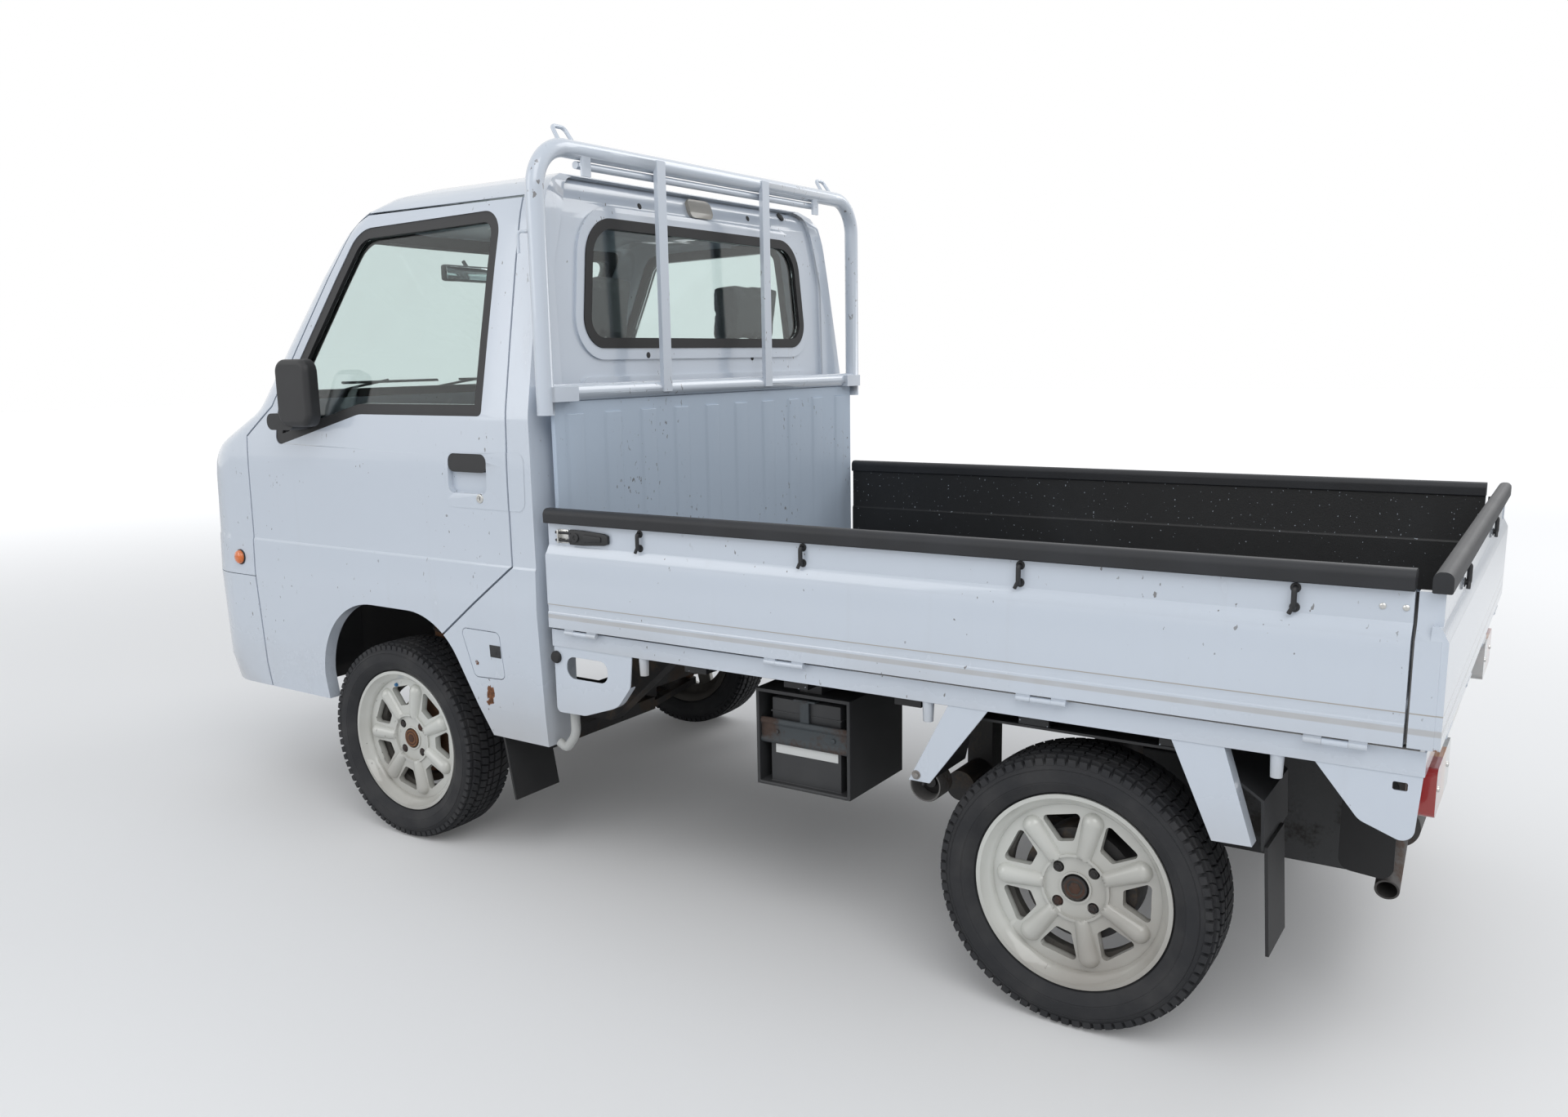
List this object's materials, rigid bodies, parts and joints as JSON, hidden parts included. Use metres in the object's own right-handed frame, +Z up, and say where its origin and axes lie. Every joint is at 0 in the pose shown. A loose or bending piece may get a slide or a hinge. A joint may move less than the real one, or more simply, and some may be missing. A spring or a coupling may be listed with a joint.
{
  "type": "kei truck",
  "caption": "Small forward-cab pickup truck with a drop-sided load bed, padded gate tops and a bent tube guard behind the cab.",
  "frame": {"origin": "on the ground, at mid-length on the centre line", "axes": "+X forward along the truck, +Y to its left, +Z up"},
  "size_m": [3.3949, 1.56, 1.822],
  "materials": {
    "white_paint": "gloss, aged",
    "wheel_cream": "satin",
    "chassis_black": "matt",
    "grey_floor": "matt",
    "bare_steel": "rough",
    "engine_alloy": "cast",
    "exhaust_steel": "dull",
    "battery_grey": "matt",
    "black_plastic": "satin",
    "grey_plastic": "grained",
    "black_rubber": "matt",
    "tyre_rubber": "worn",
    "seat_fabric": "woven",
    "window_glass": "clear",
    "lamp_glass": "clear lens",
    "lamp_red": "moulded lens"
  },
  "bodies": {
    "truck": {"cab_shell": "white_paint", "front_bumper": "white_paint", "headlamps": "lamp_glass", "cab_glass": "window_glass", "window_seals": "black_rubber", "rear_lamps": "lamp_red", "cab_floor": "grey_floor", "dashboard": "grey_plastic", "steering_column": "grey_plastic", "seats": "seat_fabric", "chassis_frame": "chassis_black", "front_suspension": "chassis_black", "rear_suspension": "chassis_black", "engine_block": "engine_alloy", "muffler": "exhaust_steel", "battery": "battery_grey", "fuel_tank": "chassis_black", "bed_floor": "white_paint", "headboard": "white_paint", "guard_frame": "white_paint", "wheel_stays": "white_paint", "front_liners": "black_plastic", "rear_liners": "black_plastic", "mudflaps": "black_rubber", "tail_panel": "white_paint"},
    "fuel_lid_body": {"fuel_lid": "white_paint"},
    "tailgate_body": {"tailgate": "white_paint", "tail_pad": "black_rubber"},
    "steering_rack_body": {"steering_rack": "bare_steel"},
    "steering_wheel_body": {"steering_wheel": "black_plastic"},
    "gate_left": {"side_gate_left": "white_paint", "gate_pad_left": "black_rubber", "gate_latch_left": "black_plastic"},
    "door_left_body": {"door_left": "white_paint", "door_trim_left": "black_plastic", "door_glass_left": "window_glass", "mirror_left": "black_plastic"},
    "knuckle_left_body": {"knuckle_left": "bare_steel"},
    "front_wheel_left": {"wheel_front_left": "wheel_cream", "tyre_front_left": "tyre_rubber"},
    "rear_wheel_left": {"wheel_rear_left": "wheel_cream", "tyre_rear_left": "tyre_rubber"},
    "gate_right": {"side_gate_right": "white_paint", "gate_pad_right": "black_rubber", "gate_latch_right": "black_plastic"},
    "door_right_body": {"door_right": "white_paint", "door_trim_right": "black_plastic", "door_glass_right": "window_glass", "mirror_right": "black_plastic"},
    "knuckle_right_body": {"knuckle_right": "bare_steel"},
    "front_wheel_right": {"wheel_front_right": "wheel_cream", "tyre_front_right": "tyre_rubber"},
    "rear_wheel_right": {"wheel_rear_right": "wheel_cream", "tyre_rear_right": "tyre_rubber"}
  },
  "joints": [
    {"name": "door_left_hinge", "type": "hinge", "parent": "truck", "child": "door_left_body", "pos_m": [1.338, 0.7185, 0.8], "axis": [0, 0, -1], "range_deg": [0, 68]},
    {"name": "door_right_hinge", "type": "hinge", "parent": "truck", "child": "door_right_body", "pos_m": [1.338, -0.7185, 0.8], "axis": [0, 0, 1], "range_deg": [0, 68]},
    {"name": "gate_left_hinge", "type": "hinge", "parent": "truck", "child": "gate_left", "pos_m": [-0.7365, 0.731, 0.656], "axis": [-1, 0, 0], "range_deg": [0, 170]},
    {"name": "gate_right_hinge", "type": "hinge", "parent": "truck", "child": "gate_right", "pos_m": [-0.7365, -0.731, 0.656], "axis": [1, 0, 0], "range_deg": [0, 170]},
    {"name": "tailgate_hinge", "type": "hinge", "parent": "truck", "child": "tailgate_body", "pos_m": [-1.691, 0, 0.656], "axis": [0, -1, 0], "range_deg": [0, 170]},
    {"name": "fuel_lid_hinge", "type": "hinge", "parent": "truck", "child": "fuel_lid_body", "pos_m": [0.485, 0.7385, 0.57], "axis": [0, 0, -1], "range_deg": [0, 85]},
    {"name": "knuckle_left_steer", "type": "hinge", "parent": "truck", "child": "knuckle_left_body", "pos_m": [0.788, 0.59, 0.148], "axis": [0, -0.1843, 0.9829], "range_deg": [-35, 35]},
    {"name": "knuckle_right_steer", "type": "hinge", "parent": "truck", "child": "knuckle_right_body", "pos_m": [0.788, -0.59, 0.148], "axis": [0, 0.1843, 0.9829], "range_deg": [-35, 35]},
    {"name": "rack_slide", "type": "slide", "parent": "truck", "child": "steering_rack_body", "axis": [0, 1, 0], "range_m": [-0.06, 0.06]},
    {"name": "steering_wheel_turn", "type": "hinge", "parent": "truck", "child": "steering_wheel_body", "pos_m": [1.052, -0.35, 1.022], "axis": [-0.6157, 0, 0.788], "range_deg": [-500, 500]},
    {"name": "front_wheel_left_spin", "type": "hinge", "parent": "knuckle_left_body", "child": "front_wheel_left", "pos_m": [0.788, 0.6225, 0.273], "axis": [0, 1, 0], "continuous": true},
    {"name": "front_wheel_right_spin", "type": "hinge", "parent": "knuckle_right_body", "child": "front_wheel_right", "pos_m": [0.788, -0.6225, 0.273], "axis": [0, 1, 0], "continuous": true},
    {"name": "rear_wheel_left_spin", "type": "hinge", "parent": "truck", "child": "rear_wheel_left", "pos_m": [-1.097, 0.6225, 0.273], "axis": [0, 1, 0], "continuous": true},
    {"name": "rear_wheel_right_spin", "type": "hinge", "parent": "truck", "child": "rear_wheel_right", "pos_m": [-1.097, -0.6225, 0.273], "axis": [0, 1, 0], "continuous": true}
  ],
  "couplings": [
    {"joint": "knuckle_right_steer", "follows": "knuckle_left_steer", "ratio": 1},
    {"joint": "rack_slide", "follows": "knuckle_left_steer", "m_per_rad": -0.089},
    {"joint": "steering_wheel_turn", "follows": "knuckle_left_steer", "ratio": 14}
  ]
}
